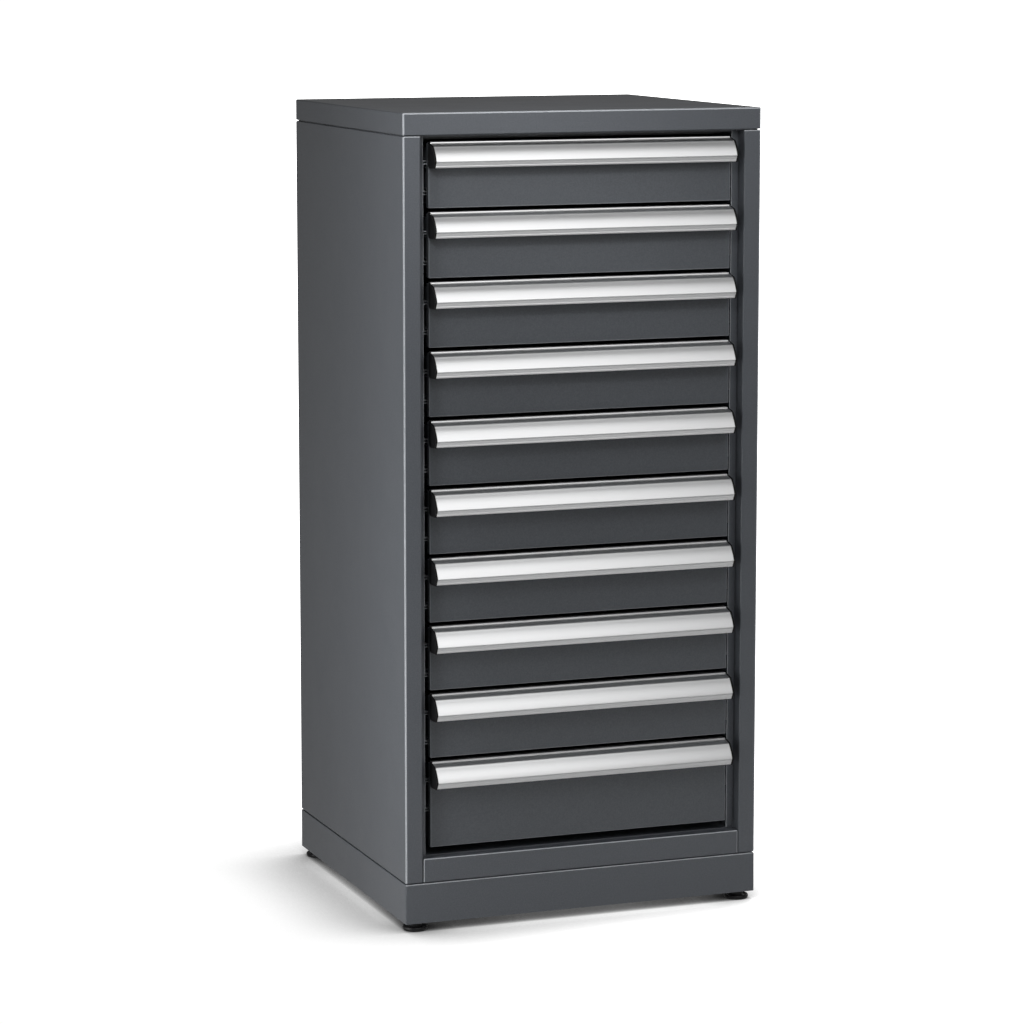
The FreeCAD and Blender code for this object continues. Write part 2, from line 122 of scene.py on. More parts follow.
def pull(piece, travel):
    """Extrudes the whole line or face along a direction."""
    only(piece)
    bpy.ops.object.mode_set(mode="EDIT")
    bpy.ops.mesh.select_all(action="SELECT")
    bpy.ops.mesh.extrude_region_move(TRANSFORM_OT_translate={"value": Vector(travel)})
    bpy.ops.object.mode_set(mode="OBJECT")
    return piece


# %% [markdown]
# ## Choosing faces and edges in code
#
# By hand, faces and edges are clicked. Here they are chosen by a question about their place or direction.
# The helper selects what answers yes and says how many that was, which is the quickest way to notice a
# wrong question.


# %% Selection
def select(piece, kind, wanted):
    """Enters edit mode and selects only the parts of one kind that are wanted; returns how many."""
    only(piece)
    bpy.ops.object.mode_set(mode="EDIT")
    bpy.ops.mesh.select_mode(type=kind)
    bpy.ops.mesh.select_all(action="DESELECT")
    shape = bmesh.from_edit_mesh(piece.data)
    items = {"VERT": shape.verts, "EDGE": shape.edges, "FACE": shape.faces}[kind]
    chosen = [item for item in items if wanted(item)]
    for item in chosen:
        item.select_set(True)
    bmesh.update_edit_mesh(piece.data)
    return len(chosen)


def leave():
    bpy.ops.object.mode_set(mode="OBJECT")


def runs_along(edge, axis):
    """True if an edge is parallel to an axis: 0 for X, 1 for Y, 2 for Z."""
    step = edge.verts[1].co - edge.verts[0].co
    return abs(step[axis]) > 0.99 * step.length


def middle(edge):
    return (edge.verts[0].co + edge.verts[1].co) / 2


def near(a, b, reach=0.05 * MM):
    return abs(a - b) < reach


def bevel_edges(piece, wanted, radius, segments=4):
    """Rounds the chosen edges and says how many those were."""
    count = select(piece, "EDGE", wanted)
    if count:
        bpy.ops.mesh.bevel(offset=radius, segments=segments, affect="EDGES", clamp_overlap=True)
    leave()
    return count


def delete_faces(piece, wanted):
    """Removes the chosen faces and says how many those were."""
    count = select(piece, "FACE", wanted)
    bpy.ops.mesh.delete(type="FACE")
    leave()
    return count


# %% [markdown]
# ## Sheet thickness and smooth folds
#
# A folded sheet is first only a skin. The Solidify modifier gives it its thickness, inwards, so the outer
# size stays. Which way is inwards depends on the normals, so one face whose outside is known is looked
# up, and the skin is flipped if that face looks the wrong way. A narrow bevel then breaks the cut edges:
# raw sheet is never razor sharp after coating, and that thin line of light is what makes it read as
# metal.
#
# Smooth shading alone would let the large flat faces bend their light towards each rounded edge. The
# Weighted Normal modifier gives the large faces the say, so that flats stay flat and only the folds turn.


# %% Thickness, edges and shading
def face_outwards(piece, outside):
    """Turns the skin over if the face at the outside place looks the other way."""
    only(piece)
    bpy.ops.object.mode_set(mode="EDIT")
    bpy.ops.mesh.select_all(action="SELECT")
    bpy.ops.mesh.normals_make_consistent(inside=False)
    leave()
    along, place = outside
    along = Vector(along)
    faces = [f for f in piece.data.polygons if abs(f.normal.dot(along)) > 0.99]
    face = min(faces, key=lambda f: abs((f.center - Vector(place)).dot(along)))
    if face.normal.dot(along) < 0:
        bpy.ops.object.mode_set(mode="EDIT")
        bpy.ops.mesh.flip_normals()
        leave()


def apply_modifier(piece, kind, **settings):
    only(piece)
    modifier = piece.modifiers.new(kind.title(), kind)
    for key, value in settings.items():
        setattr(modifier, key, value)
    bpy.ops.object.modifier_apply(modifier=modifier.name)


def thicken(piece, thickness):
    apply_modifier(piece, "SOLIDIFY", thickness=thickness, offset=-1, use_even_offset=True)


def break_edges(piece, width, segments=2):
    """Rounds every edge that is still sharp."""
    apply_modifier(
        piece, "BEVEL", width=width, segments=segments, limit_method="ANGLE",
        angle_limit=math.radians(50), use_clamp_overlap=True,
    )


def shade(piece, degrees=30):
    only(piece)
    bpy.ops.object.shade_smooth_by_angle(angle=math.radians(degrees))
    apply_modifier(piece, "WEIGHTED_NORMAL", keep_sharp=True)


def copy_of(piece, name, shift):
    """A copy with its own mesh, moved by a step."""
    only(piece)
    bpy.ops.object.duplicate(linked=False)
    copy = bpy.context.object
    copy.name = name
    copy.location = Vector(shift)
    return fix_place(copy)


def mirror_of(piece, name):
    """The piece on the other side of the middle plane, with its faces still outwards."""
    only(piece)
    bpy.ops.object.duplicate(linked=False)
    copy = bpy.context.object
    copy.name = name
    copy.scale = (-1, 1, 1)
    fix_place(copy)
    bpy.ops.object.mode_set(mode="EDIT")
    bpy.ops.mesh.select_all(action="SELECT")
    bpy.ops.mesh.normals_make_consistent(inside=False)
    leave()
    bpy.ops.mesh.customdata_custom_splitnormals_clear()
    return copy


def join(pieces, name):
    """One object from several."""
    bpy.ops.object.select_all(action="DESELECT")
    for piece in pieces:
        piece.select_set(True)
    bpy.context.view_layer.objects.active = pieces[0]
    bpy.ops.object.join()
    pieces[0].name = name
    return pieces[0]


# %% [markdown]
# ## Colours and nodes
#
# Finish charts give colours as sRGB hex values, while a shader works in linear light, so one function
# turns one into the other. A second one adds a node, sets it and links it, which keeps every material
# readable as a list of what it does.


# %% Material tools
def linear(code):
    """Linear RGBA from an sRGB hex value."""
    channels = [int(code[i:i + 2], 16) / 255 for i in (0, 2, 4)]
    light = [c / 12.92 if c <= 0.04045 else ((c + 0.055) / 1.055) ** 2.4 for c in channels]
    return (*light, 1)


def add_node(tree, kind, values=None, links=None, **settings):
    """A node with its settings, its input values and its links from other nodes' outputs."""
    node = tree.nodes.new(kind)
    for key, value in settings.items():
        setattr(node, key, value)
    for key, value in (values or {}).items():
        node.inputs[key].default_value = value
    for key, source in (links or {}).items():
        tree.links.new(source, node.inputs[key])
    return node


def new_material(name):
    """An empty material and its node tree."""
    material = bpy.data.materials.new(name)
    material.use_nodes = True
    material.node_tree.nodes.clear()
    return material, material.node_tree


def finish_material(tree, shader):
    """Links a shader to the material's output."""
    add_node(tree, "ShaderNodeOutputMaterial", links={"Surface": shader.outputs[0]})


def ramp(tree, source, low, high, dark, light):
    """Turns a pattern's range from low to high into one from dark to light."""
    return add_node(
        tree, "ShaderNodeMapRange",
        {"From Min": low, "From Max": high, "To Min": dark, "To Max": light}, {"Value": source},
    ).outputs["Result"]


# %% [markdown]
# ## Powder coat
#
# Powder coat is a baked polyester film. It is never glassy: melted grains leave a fine orange peel about
# half a millimetre across, which spreads each reflection into a soft sheen, and the film is a touch
# uneven from hand to hand of the spray gun. Two noises make the peel, a slow one moves the roughness, and
# the colour only wanders by a few percent. The grain is drawn about three times as coarse as it is, so that
# it still shows from across a room.

# %% Powder-coated steel
PEEL_SIZE = 1.6 * MM
WAVE_SIZE = 4.0 * MM
CLOUD_SIZE = 90.0 * MM


def powder_coat(name, deep, pale, dull):
    """Satin coat between two close greys; dull is its middle roughness."""
    material, tree = new_material(name)
    place = add_node(tree, "ShaderNodeTexCoord").outputs["Object"]
    peel = add_node(tree, "ShaderNodeTexNoise", {"Scale": 1 / PEEL_SIZE, "Detail": 3}, {"Vector": place})
    wave = add_node(tree, "ShaderNodeTexNoise", {"Scale": 1 / WAVE_SIZE, "Detail": 2}, {"Vector": place})
    cloud = add_node(tree, "ShaderNodeTexNoise", {"Scale": 1 / CLOUD_SIZE, "Detail": 3}, {"Vector": place})
    tint = add_node(
        tree, "ShaderNodeMix", {"A": linear(deep), "B": linear(pale)},
        {"Factor": ramp(tree, peel.outputs["Fac"], 0.3, 0.7, 0, 1)}, data_type="RGBA",
    )
    wave_bump = add_node(
        tree, "ShaderNodeBump", {"Strength": 0.06, "Distance": 0.2 * MM}, {"Height": wave.outputs["Fac"]}
    )
    peel_bump = add_node(
        tree, "ShaderNodeBump", {"Strength": 0.15, "Distance": 0.1 * MM},
        {"Height": peel.outputs["Fac"], "Normal": wave_bump.outputs["Normal"]},
    )
    shader = add_node(
        tree, "ShaderNodeBsdfPrincipled",
        {"IOR": 1.5, "Specular IOR Level": 0.3, "Coat Weight": 0.5, "Coat Roughness": 0.22},
        {
            "Base Color": tint.outputs["Result"],
            "Roughness": ramp(tree, cloud.outputs["Fac"], 0.3, 0.7, dull - 0.03, dull + 0.03),
            "Normal": peel_bump.outputs["Normal"],
        },
    )
    finish_material(tree, shader)
    return material


# Cool dark grey with a soft sheen: large quiet faces that only brighten slowly towards the light
housing_paint = powder_coat("powder_coated_steel_housing", "3A3D41", "42454A", 0.51)
# The same coat a shade deeper: painted shade that darkens the fronts, as if they lay in the shadow of the
# pulls between the posts
drawer_paint = powder_coat("powder_coated_steel_drawers_darkened_as_painted_shade", "35383C", "3D4044", 0.51)

# %% [markdown]
# The folds that face the front get a painted highlight: a paler, glossier grey on the faces of the fold,
# which draws a fine bright line where the lights would catch the edge. That painted line is a material of
# its own, and one function puts it on the faces of a fold. The drawers are folded tighter, and their
# painted line is fainter.

# %% Painted highlight on the folds
# Painted highlight: a paler, glossier grey that draws a bright outline on the front folds of cap, posts,
# rail and plinth
painted_highlight_paint = powder_coat("powder_coat_painted_highlight_on_folds", "7E8185", "8C8F93", 0.35)
# Fainter painted highlight, halfway between the two: a faint bright rim round each drawer front
drawer_painted_highlight_paint = powder_coat("powder_coat_painted_highlight_on_drawer_folds", "55585C", "606367", 0.35)


def mark_faces(piece, wanted, face_material, painted_highlight_material):
    """Gives the piece two materials, the second one, a painted highlight, on the wanted faces."""
    piece.data.materials.append(face_material)
    piece.data.materials.append(painted_highlight_material)
    chosen = [face for face in piece.data.polygons if wanted(face)]
    for face in chosen:
        face.material_index = 1
    print(f"{piece.name}: {len(chosen)} fold faces marked")


# A face counts as turned some way when its normal leans at least this far there.
TURNED = 0.15


def faces_front(face):
    """True on the round of a fold, where a face leaves the front without being on another side yet."""
    return -0.99 < face.normal.y < -TURNED

# %% [markdown]
# ## Anodised aluminium
#
# The pulls are extruded, so the die leaves hair-fine lines along their whole length, and anodising turns
# them silky. The lines come from one noise that is stretched thousands of times along X, about 0.25 mm
# apart. It moves the colour, the roughness and the bump together, so each line is a real ridge to the
# light.

# %% Satin anodised aluminium
DIE_LINE = 0.25 * MM
DIE_LINE_LENGTH = 900 * MM


def anodised_aluminium(name):
    """Pale metal with fine lines along X."""
    material, tree = new_material(name)
    place = add_node(tree, "ShaderNodeTexCoord").outputs["Object"]
    stretch = (1 / DIE_LINE_LENGTH, 1 / DIE_LINE, 1 / DIE_LINE)
    drawn = add_node(tree, "ShaderNodeMapping", {"Scale": stretch}, {"Vector": place}).outputs["Vector"]
    lines = add_node(tree, "ShaderNodeTexNoise", {"Scale": 1, "Detail": 2}, {"Vector": drawn})
    tint = add_node(
        tree, "ShaderNodeMix", {"A": linear("D6D7D8"), "B": linear("E6E6E6")},
        {"Factor": lines.outputs["Fac"]}, data_type="RGBA",
    )
    bump = add_node(
        tree, "ShaderNodeBump", {"Strength": 0.08, "Distance": 0.05 * MM}, {"Height": lines.outputs["Fac"]}
    )
    shader = add_node(
        tree, "ShaderNodeBsdfPrincipled", {"Metallic": 1},
        {
            "Base Color": tint.outputs["Result"],
            "Roughness": ramp(tree, lines.outputs["Fac"], 0.3, 0.7, 0.3, 0.4),
            "Normal": bump.outputs["Normal"],
        },
    )
    finish_material(tree, shader)
    return material


# Silky pale metal: long soft streaks that gather the light into one band along each pull
pull_aluminium = anodised_aluminium("satin_anodised_aluminium")

# %% [markdown]
# ## Plastic, nylon and zinc
#
# The end caps are moulded ABS with a fine spark-eroded grain, and the feet are glass-filled nylon, a
# little duller. Slides and bolts are zinc plated: a pale metal, clouded by the passivation bath.


# %% Moulded plastics and zinc plate
def moulded_plastic(name, colour, grain, dull):
    """Plain plastic with a fine grain; dull is its middle roughness."""
    material, tree = new_material(name)
    place = add_node(tree, "ShaderNodeTexCoord").outputs["Object"]
    pits = add_node(tree, "ShaderNodeTexNoise", {"Scale": 1 / grain, "Detail": 2}, {"Vector": place})
    bump = add_node(
        tree, "ShaderNodeBump", {"Strength": 0.3, "Distance": 0.08 * MM}, {"Height": pits.outputs["Fac"]}
    )
    shader = add_node(
        tree, "ShaderNodeBsdfPrincipled",
        {"Base Color": linear(colour), "IOR": 1.5, "Specular IOR Level": 0.2},
        {
            "Roughness": ramp(tree, pits.outputs["Fac"], 0.3, 0.7, dull - 0.06, dull + 0.06),
            "Normal": bump.outputs["Normal"],
        },
    )
    finish_material(tree, shader)
    return material


def zinc_plate(name, cloud_size):
    """Pale metal, clouded in patches of a given size."""
    material, tree = new_material(name)
    place = add_node(tree, "ShaderNodeTexCoord").outputs["Object"]
    clouds = add_node(tree, "ShaderNodeTexNoise", {"Scale": 1 / cloud_size, "Detail": 4}, {"Vector": place})
    tint = add_node(
        tree, "ShaderNodeMix", {"A": linear("A9ADB2"), "B": linear("C4C8CC")},
        {"Factor": clouds.outputs["Fac"]}, data_type="RGBA",
    )
    shader = add_node(
        tree, "ShaderNodeBsdfPrincipled", {"Metallic": 1},
        {
            "Base Color": tint.outputs["Result"],
            "Roughness": ramp(tree, clouds.outputs["Fac"], 0.3, 0.7, 0.28, 0.42),
        },
    )
    finish_material(tree, shader)
    return material


# Deep dull black that frames the bright ends of the pulls
cap_plastic = moulded_plastic("black_abs", "060607", 0.5 * MM, 0.6)
# Greyer black with some shine, so the turned rim of a foot shows against its own shadow
foot_nylon = moulded_plastic("black_glass_filled_nylon", "151516", 0.8 * MM, 0.38)
# Bright cloudy metal: slides and bolts read as bare hardware inside a painted chest
zinc = zinc_plate("zinc_plated_steel", 6 * MM)


# %% [markdown]
# ## Handing a piece over
#
# Each finished piece gets its material, rides on its body and says which node of the frame it stands for.


# %% Hand over
def hand_over(piece, material, body, slot, *nodes):
    """Finishes a piece, unless its folds carry their painted highlight already, and lets it stand for its
    nodes.
    """
    if not piece.data.materials:
        piece.data.materials.append(material)
    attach(piece, body)
    if nodes:
        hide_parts(*nodes)
    print(f"{piece.name}: {len(piece.data.polygons)} faces")


# %% [markdown]
# ## Sizes from the frame
#
# The main planes come from the boxes of the frame's nodes: the post faces, the uprights' faces, the
# seams.

# %% Main planes
cap_low, cap_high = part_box("top_cap")
panel_low, panel_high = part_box("left_side_panel")
rail_low, rail_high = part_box("lower_front_rail")
plinth_low, plinth_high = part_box("plinth")
SIDE = cap_high.x
FACE = cap_low.y
BACK = cap_high.y
OPENING = rail_high.x
UPRIGHT_FACE = rail_high.y
SHEET = 1.2 * MM
FRAME_SHEET = 1.5 * MM
FOLD = 2.0 * MM
SMALL_FOLD = 1.2 * MM
HAIR = 0.3 * MM
FLANGE = 20 * MM
SEAM = 1.5 * MM
print("width", round(2 * SIDE, 4), "depth", round(BACK - FACE, 4), "opening", round(2 * OPENING, 4))

# %% [markdown]
# ## Top cap
#
# The cap is a shallow box, folded down on all sides, with a return under its rim. A cube has the shape,
# so its underside is inset and opened, the folds are rounded, and the skin gets its thickness. It stands
# a hair above the panels: a thin strip, set back all round, closes that gap and keeps it dark.

# %% Top cap
CAP_RETURN = 18 * MM
SEAM_INSET = 3 * MM
FRONT_SEAM_INSET = 5 * MM
CAP_EDGE = panel_high.z + SEAM
PLINTH_EDGE = panel_low.z - SEAM


def seam_rim(name, bottom, top):
    """The strip that closes a shadow gap a little way in."""
    low = (SEAM_INSET - SIDE, FACE + FRONT_SEAM_INSET, bottom)
    high = (SIDE - SEAM_INSET, BACK - SEAM_INSET, top)
    rim = add_block(name, low, high)
    delete_faces(rim, lambda face: abs(face.normal.z) > 0.9)
    thicken(rim, SHEET)
    return rim


cap = add_block("top_cap_sheet", (cap_low.x, cap_low.y, CAP_EDGE), cap_high)
select(cap, "FACE", lambda face: face.normal.z < -0.9)
bpy.ops.mesh.inset(thickness=CAP_RETURN)
bpy.ops.mesh.delete(type="FACE")
leave()
bevel_edges(cap, lambda edge: not edge.is_boundary and middle(edge).z > CAP_EDGE + MM, FOLD, 5)
bevel_edges(
    cap,
    lambda edge: not edge.is_boundary and near(middle(edge).z, CAP_EDGE)
    and len([f for f in edge.link_faces if f.normal.z < -0.9]) == 1,
    SMALL_FOLD, 3,
)
thicken(cap, SHEET)
cap = join([cap, seam_rim("cap_rim", cap_low.z, CAP_EDGE)], "top_cap_sheet")
break_edges(cap, HAIR)
shade(cap)
# Painted highlight: the front folds of the cap get the paler grey
mark_faces(
    cap,
    lambda face: faces_front(face) and (abs(face.normal.x) > TURNED or face.normal.z > TURNED),
    housing_paint, painted_highlight_paint,
)
hand_over(cap, housing_paint, "housing", "housing_paint", "top_cap")

# %% [markdown]
# ## Side panels with their posts
#
# One sheet makes the side, the front post and the return that leads back into the opening. Its plan is
# drawn as a line, pulled up to the full height, and closed with a flange at the top and bottom. The front
# corner is the fold that shows most: its radius catches the long vertical light, and a painted highlight
# on its faces makes that line brighter still.

# %% Side panels
plan = [
    (-SIDE + FLANGE, BACK),
    (-SIDE, BACK),
    (-SIDE, FACE),
    (-OPENING, FACE),
    (-OPENING, UPRIGHT_FACE),
]
left_panel = draw_line("left_side_sheet", [(x, y, panel_low.z) for x, y in plan])
pull(left_panel, (0, 0, panel_high.z - panel_low.z))
for height in (panel_low.z, panel_high.z):
    select(left_panel, "EDGE", lambda edge: edge.is_boundary and near(middle(edge).z, height))
    bpy.ops.mesh.edge_face_add()
    leave()
face_outwards(left_panel, ((-1, 0, 0), (-SIDE, 0, 0)))
bevel_edges(left_panel, lambda edge: not edge.is_boundary and runs_along(edge, 2), FOLD, 5)
bevel_edges(
    left_panel,
    lambda edge: not edge.is_boundary and len([f for f in edge.link_faces if abs(f.normal.z) > 0.9]) == 1,
    SMALL_FOLD, 3,
)
thicken(left_panel, SHEET)
break_edges(left_panel, HAIR)
shade(left_panel)
# Painted highlight: the outer front fold and the top fold of the post get the paler grey
mark_faces(
    left_panel,
    lambda face: faces_front(face) and (face.normal.x < -TURNED or face.normal.z > TURNED),
    housing_paint, painted_highlight_paint,
)
right_panel = mirror_of(left_panel, "right_side_sheet")
shade(right_panel)
hand_over(left_panel, housing_paint, "housing", "housing_paint", "left_side_panel")
hand_over(right_panel, housing_paint, "housing", "housing_paint", "right_side_panel")

# %% [markdown]
# ## Uprights and rails
#
# The uprights are channels whose faces show as narrow strips beside the drawers. The lower rail is a
# channel too, with a ledge on top. All of them are lines pulled along one axis, so they share a function:
# draw, pull, round the folds, thicken. Closing the ends of the lower rail gives it the small returns seen
# at its seams. The front uprights also end in a folded hem, which is the fine vertical line beside the
# drawers.


# %% Folded channels
def folded_channel(name, outline, travel, outside, sheet, fold=FOLD, closed_ends=False):
    """Sheet folded along an outline and as long as its travel."""
    piece = pull(draw_line(name, outline), travel)
    axis = max(range(3), key=lambda i: abs(travel[i]))
    if closed_ends:
        for end in (outline[0][axis], outline[0][axis] + travel[axis]):
            select(piece, "EDGE", lambda edge: edge.is_boundary and near(middle(edge)[axis], end))
            bpy.ops.mesh.edge_face_add()
            leave()
    face_outwards(piece, outside)
    bevel_edges(piece, lambda edge: not edge.is_boundary and runs_along(edge, axis), fold, 4)
    if closed_ends:
        bevel_edges(
            piece,
            lambda edge: not edge.is_boundary
            and len([f for f in edge.link_faces if abs(f.normal[axis]) > 0.9]) == 1,
            SMALL_FOLD, 3,
        )
    thicken(piece, sheet)
    break_edges(piece, HAIR)
    shade(piece)
    return piece


# %% [markdown]
# The left uprights are made and mirrored. The front one gets its hem as a narrow block with a rounded front
# corner, joined on before the painted highlight goes on its fold, so that the painted bright line runs down
# the hem too.

# %% Uprights
HEM = 3 * MM
HEM_ROUND = 0.7 * MM


def make_upright(node, face_y, leg_y, leg_x):
    """Channel at the left: face towards the front or back, leg with the slides, outer lip."""
    low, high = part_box(node)
    outline = [
        (low.x, face_y, low.z),
        (leg_x, face_y, low.z),
        (leg_x, leg_y, low.z),
        (leg_x - FLANGE, leg_y, low.z),
    ]
    outside = ((1, 0, 0), (leg_x, 0, 0))
    return folded_channel(node + "_channel", outline, (0, 0, high.z - low.z), outside, FRAME_SHEET)


front_low, front_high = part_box("front_left_upright")
rear_low, rear_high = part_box("rear_left_upright")
front_upright = make_upright("front_left_upright", front_low.y, front_high.y, front_high.x - HEM)
hem = add_block(
    "hem",
    (front_high.x - HEM - FOLD, front_low.y, rail_high.z),
    (front_high.x, front_low.y + FRAME_SHEET, front_high.z),
)
bevel_edges(hem, lambda edge: runs_along(edge, 2) and near(middle(edge).x, front_high.x), HEM_ROUND, 4)
front_upright = join([front_upright, hem], "front_left_upright_channel")
shade(front_upright)
# Painted highlight: the rounded front corner of the hem gets the paler grey
mark_faces(
    front_upright,
    lambda face: face.normal.x > TURNED and face.normal.y < -TURNED and face.center.x > front_high.x - MM,
    housing_paint, painted_highlight_paint,
)
rear_upright = make_upright("rear_left_upright", rear_high.y, rear_low.y, rear_high.x)
for upright, place in ((front_upright, "front"), (rear_upright, "rear")):
    twin = mirror_of(upright, place + "_right_upright_channel")
    shade(twin)
    hand_over(upright, housing_paint, "housing", "housing_paint", place + "_left_upright")
    hand_over(twin, housing_paint, "housing", "housing_paint", place + "_right_upright")

# %% [markdown]
# The rail fits between the posts with a fine seam at each end. Its two ends are closed, so the seam shows a
# rounded corner and not the bare cut of a sheet.

# %% Lower front rail
SEAM_BESIDE_RAIL = 0.9 * MM
rail_start = rail_low.x + SEAM_BESIDE_RAIL
rail_outline = [
    (rail_start, UPRIGHT_FACE, rail_high.z),
    (rail_start, FACE, rail_high.z),
    (rail_start, FACE, rail_low.z),
    (rail_start, UPRIGHT_FACE, rail_low.z),
]
front_rail = folded_channel(
    "lower_front_rail_channel", rail_outline, (-2 * rail_start, 0, 0), ((0, -1, 0), (0, FACE, 0)), SHEET,
    SMALL_FOLD, closed_ends=True,
)
# Painted highlight: the front folds of the rail get the paler grey
mark_faces(
    front_rail,
    lambda face: faces_front(face) and (abs(face.normal.x) > TURNED or face.normal.z > TURNED),
    housing_paint, painted_highlight_paint,
)
hand_over(front_rail, housing_paint, "housing", "housing_paint", "lower_front_rail")

# %% [markdown]
# ## Plinth
#
# The plinth is a frame of folded strip with a flange round its top. A cube is opened below and, after an
# inset, above. Four gussets close its lower corners; each is a plate with its free corner cut off.

# %% Plinth
GUSSET = 60.5 * MM
GUSSET_SHEET = 3 * MM
GUSSET_CUT = 20 * MM
plinth = add_block("plinth_frame", plinth_low, (plinth_high.x, plinth_high.y, PLINTH_EDGE))
delete_faces(plinth, lambda face: face.normal.z < -0.9)
select(plinth, "FACE", lambda face: face.normal.z > 0.9)
bpy.ops.mesh.inset(thickness=FLANGE)
bpy.ops.mesh.delete(type="FACE")
leave()
bevel_edges(plinth, lambda edge: runs_along(edge, 2), FOLD, 5)
bevel_edges(
    plinth,
    lambda edge: not edge.is_boundary and len([f for f in edge.link_faces if f.normal.z > 0.9]) == 1,
    SMALL_FOLD, 3,
)
thicken(plinth, FRAME_SHEET)
gussets = []
for sx in (-1, 1):
    for sy, edge_y in ((-1, FACE), (1, BACK)):
        corner = Vector((sx * (SIDE - FRAME_SHEET), edge_y - sy * FRAME_SHEET, plinth_low.z))
        inner = corner - Vector((sx * GUSSET, sy * GUSSET, 0))
        low = (min(corner.x, inner.x), min(corner.y, inner.y), plinth_low.z)
        high = (max(corner.x, inner.x), max(corner.y, inner.y), plinth_low.z + GUSSET_SHEET)
        gusset = add_block("gusset", low, high)
        bevel_edges(
            gusset,
            lambda edge: runs_along(edge, 2)
            and near(middle(edge).x, inner.x) and near(middle(edge).y, inner.y),
            GUSSET_CUT, 1,
        )
        gussets.append(gusset)
plinth = join([plinth, seam_rim("plinth_rim", PLINTH_EDGE, plinth_high.z)] + gussets, "plinth_frame")
break_edges(plinth, HAIR)
shade(plinth)
# Painted highlight: the top front fold of the plinth gets the paler grey
mark_faces(plinth, lambda face: faces_front(face) and face.normal.z > TURNED, housing_paint, painted_highlight_paint)
hand_over(plinth, housing_paint, "housing", "housing_paint", "plinth")

# %% [markdown]
# ## Drawers
#
# Each drawer is one folded tray whose front is hollow: a shallow pan with returns, hooked over at the top
# into the tray's own front wall. Ribs along both walls run in the slides. One drawer is modelled and
# copied; the bottom one is deeper, so it is made by the same function with its own height.

# %% Tray
TRAY_SHEET = 1.0 * MM
PAN_HALF = 211.6 * MM
PAN_DEPTH = 8.5 * MM
TRAY_HALF = 206.3 * MM
TRAY_GAP = 0.5 * MM
TRAY_FLOOR = 4 * MM
WALL_DROP = 6.4 * MM
RIB_HALF = 212 * MM
RIB_START = 3 * MM
RIB_HALF_SHEET = 0.6 * MM
RIB_DROPS = (13.6 * MM, -13.6 * MM)


def make_tray(name, node, slide_centre):
    """Tray with its hollow front, between the walls and heights of a node's box."""
    low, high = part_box(node)
    tray_front = UPRIGHT_FACE - TRAY_GAP
    wall_top = high.z - WALL_DROP
    pan = add_block(name, (-PAN_HALF, low.y, low.z), (PAN_HALF, low.y + PAN_DEPTH, high.z))
    delete_faces(pan, lambda face: face.normal.y > 0.9)
    bevel_edges(pan, lambda edge: not edge.is_boundary, SMALL_FOLD, 4)
    thicken(pan, SHEET)
    break_edges(pan, HAIR)
    hook_back = tray_front + TRAY_SHEET
    hook = add_block("hook", (-TRAY_HALF, low.y + SHEET, high.z - SHEET), (TRAY_HALF, hook_back, high.z))
    hook_wall = add_block("hook_wall", (-TRAY_HALF, tray_front, wall_top), (TRAY_HALF, hook_back, high.z))
    box = add_block("box", (-TRAY_HALF, tray_front, low.z + TRAY_FLOOR), (TRAY_HALF, high.y, wall_top))
    delete_faces(box, lambda face: face.normal.z > 0.9)
    bevel_edges(box, lambda edge: not edge.is_boundary, FOLD, 4)
    thicken(box, TRAY_SHEET)
    break_edges(box, HAIR)
    ribs = []
    for side in (-1, 1):
        for drop in RIB_DROPS:
            x0, x1 = sorted((side * TRAY_HALF, side * RIB_HALF))
            z = slide_centre + drop
            rib_low = (x0, UPRIGHT_FACE + RIB_START, z - RIB_HALF_SHEET)
            ribs.append(add_block("rib", rib_low, (x1, high.y, z + RIB_HALF_SHEET)))
    tray = join([pan, box, hook, hook_wall] + ribs, name)
    shade(tray)
    # Painted highlight: a faint paler rim on the side and bottom folds of the drawer front
    mark_faces(
        tray,
        lambda face: faces_front(face) and face.center.y < low.y + 2 * MM
        and (abs(face.normal.x) > TURNED or face.normal.z < -TURNED),
        drawer_paint, drawer_painted_highlight_paint,
    )
    return tray


# %% [markdown]
# ## Pulls
#
# The pull is an extrusion, so its section says everything: a flange over the drawer's top edge, a thin
# lip, a flat web, a rounded shoulder, a bowed blade that runs down to a sharp crest, and a toe turned
# back under it with two fine grooves. The section is drawn as a closed line, filled and pulled to its
# length. Sizes are millimetres forward of the drawer's front and down from the lip.

# %% Pull section
def bowed(start, end, bulge, steps):
    """Points of a shallow arc between two points, bulging to the right of the way there."""
    (r0, d0), (r1, d1) = start, end
    length = math.hypot(r1 - r0, d1 - d0)
    across = ((d1 - d0) / length, -(r1 - r0) / length)
    points = []
    for step in range(1, steps):
        t = step / steps
        rise = bulge * 4 * t * (1 - t)
        points.append((r0 + (r1 - r0) * t + across[0] * rise, d0 + (d1 - d0) * t + across[1] * rise))
    return points


LIP_FRONT = (2.5, 1.6)
WEB_FRONT = (12.6, 4.0)
SHOULDER = (16.8, 7.0)
BLADE_END = (26.8, 23.3)
CREST = (27.0, 24.0)
TOE = (22.0, 32.8)
BLADE_BACK = ((24.4, 24.1), (15.0, 8.8))


def on_toe(share, depth=0.0):
    """A point on the toe's face, sunk into it by a depth."""
    along = (TOE[0] - CREST[0], TOE[1] - CREST[1])
    length = math.hypot(*along)
    return (
        CREST[0] + along[0] * share - along[1] / length * depth,
        CREST[1] + along[1] * share + along[0] / length * depth,
    )


